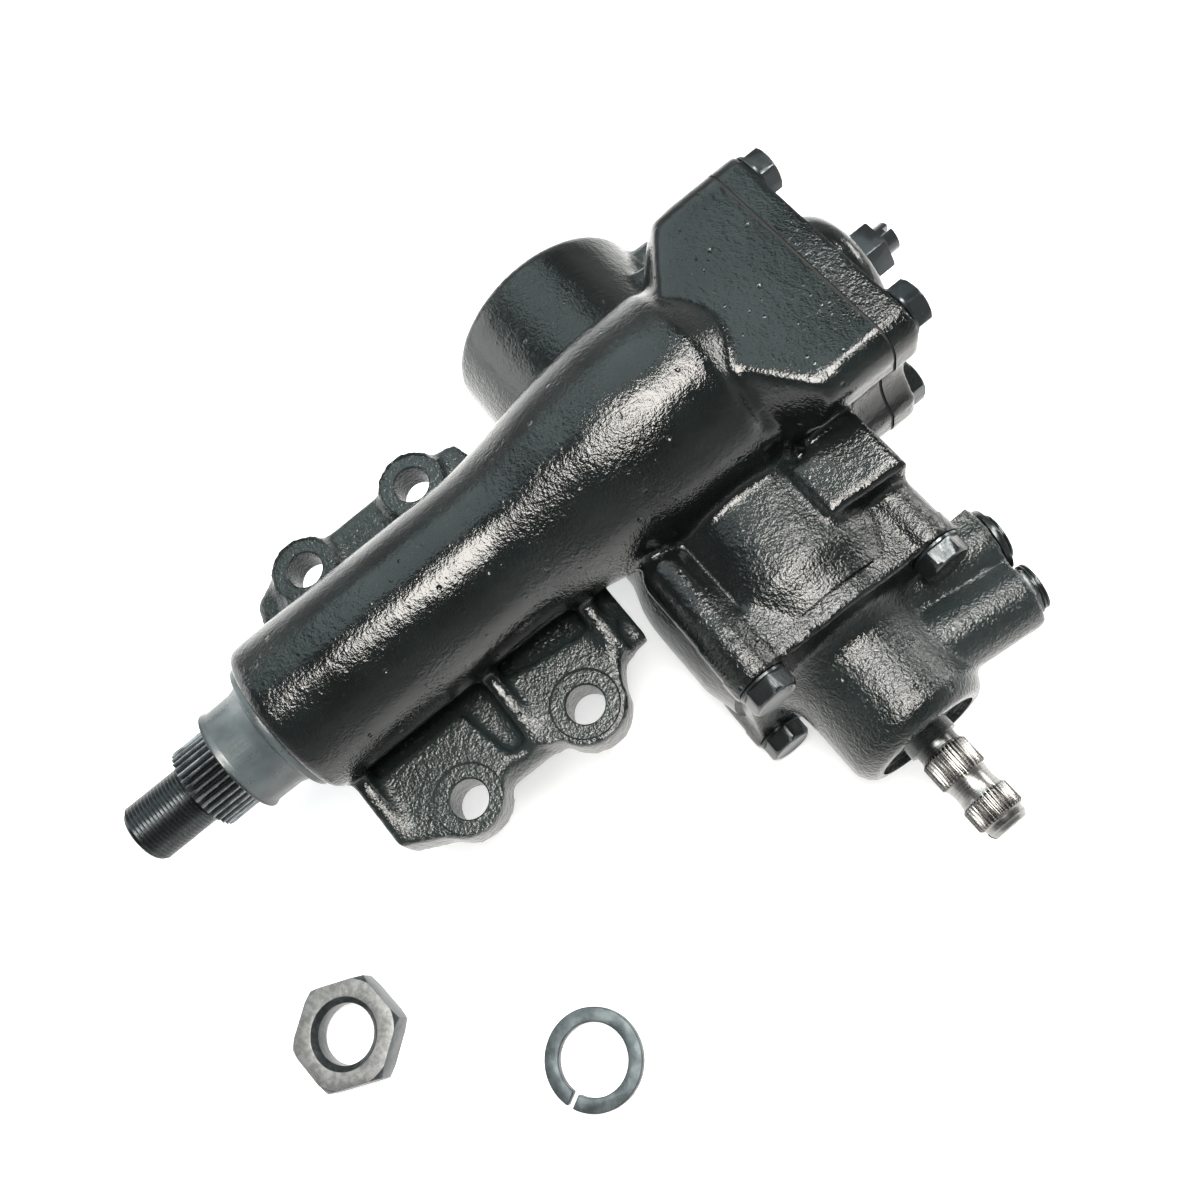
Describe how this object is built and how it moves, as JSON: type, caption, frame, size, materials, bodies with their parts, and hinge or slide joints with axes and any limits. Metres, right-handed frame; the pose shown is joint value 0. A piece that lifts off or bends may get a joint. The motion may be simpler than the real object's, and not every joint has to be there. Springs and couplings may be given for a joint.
{
  "type": "steering gearbox",
  "caption": "Recirculating-ball power steering gearbox: black cast housing with a bolt-on flange, splined input shaft, rack piston and sector shaft ending in a spline and a thread.",
  "frame": {"origin": "centre of the rectangle of mounting bolt holes, on the mounting face", "axes": "+X along the worm towards the input shaft, +Y along the sector shaft towards the top cover, +Z away from the vehicle frame"},
  "size_m": [0.2835, 0.3819, 0.141],
  "materials": {
    "black_paint": "gloss black paint over rough cast iron",
    "painted_fastener": "gloss black paint over steel",
    "dark_steel": "dark phosphated steel",
    "spring_steel": "blued spring steel",
    "gasket": "matt black sealing sheet",
    "bronze": "plain bronze",
    "bearing_steel": "ground steel",
    "polished_steel": "polished steel",
    "seal_rubber": "oiled black rubber",
    "dust_rubber": "grey semi-matt rubber",
    "sector_steel": "dark phosphated and ground steel",
    "piston_steel": "hardened and ground steel",
    "seal_plastic": "filled sealing plastic",
    "input_steel": "bright turned steel"
  },
  "bodies": {
    "gearbox": {"gear_housing": "black_paint", "sector_cover": "black_paint", "cover_gasket": "gasket", "cover_bolts": "painted_fastener", "adjusting_screw": "dark_steel", "adjuster_lock_nut": "painted_fastener", "cover_bush": "bronze", "lower_bearing_cup": "bearing_steel", "lower_bearing_rollers": "polished_steel", "upper_bearing_cup": "bearing_steel", "upper_bearing_rollers": "polished_steel", "sector_oil_seal": "seal_rubber", "dust_seal": "dust_rubber", "valve_housing": "black_paint", "valve_bolts": "painted_fastener", "housing_seal_ring": "seal_rubber", "worm_bearing_outer": "bearing_steel", "worm_bearing_balls": "polished_steel", "input_bearing": "bronze", "input_oil_seal": "seal_rubber", "input_snap_ring": "dark_steel", "pressure_union": "painted_fastener", "return_union": "painted_fastener", "cylinder_plug": "painted_fastener", "relief_plug": "painted_fastener", "drop_arm_nut": "dark_steel", "lock_washer": "spring_steel"},
    "sector": {"sector_shaft": "sector_steel"},
    "piston": {"rack_piston": "piston_steel", "piston_ring": "seal_plastic", "ball_nut": "piston_steel", "nut_lock_ring": "dark_steel", "recirculating_balls": "polished_steel"},
    "worm": {"worm_shaft": "piston_steel", "worm_bearing_inner": "bearing_steel", "worm_lock_nut": "dark_steel", "valve_sleeve": "bearing_steel", "sleeve_seal_rings": "seal_plastic", "torsion_bar_pin": "polished_steel"},
    "input": {"input_shaft": "input_steel", "torsion_bar": "spring_steel"}
  },
  "joints": [
    {"name": "worm_turn", "type": "hinge", "parent": "gearbox", "child": "worm", "pos_m": [0, 0.117, -0.009], "axis": [1, 0, 0], "range_deg": [-565, 565]},
    {"name": "sector_swing", "type": "hinge", "parent": "gearbox", "child": "sector", "pos_m": [0, 0, 0.038], "axis": [0, 1, 0], "range_deg": [-45, 45]},
    {"name": "piston_slide", "type": "slide", "parent": "gearbox", "child": "piston", "axis": [1, 0, 0], "range_m": [-0.01726, 0.01726]},
    {"name": "valve_twist", "type": "hinge", "parent": "worm", "child": "input", "pos_m": [0, 0.117, -0.009], "axis": [1, 0, 0], "range_deg": [-4, 4], "stiffness_Nm_per_rad": 90}
  ],
  "couplings": [
    {"joint": "sector_swing", "follows": "piston_slide", "rad_per_m": -45.455},
    {"joint": "worm_turn", "follows": "piston_slide", "rad_per_m": -571.2}
  ]
}
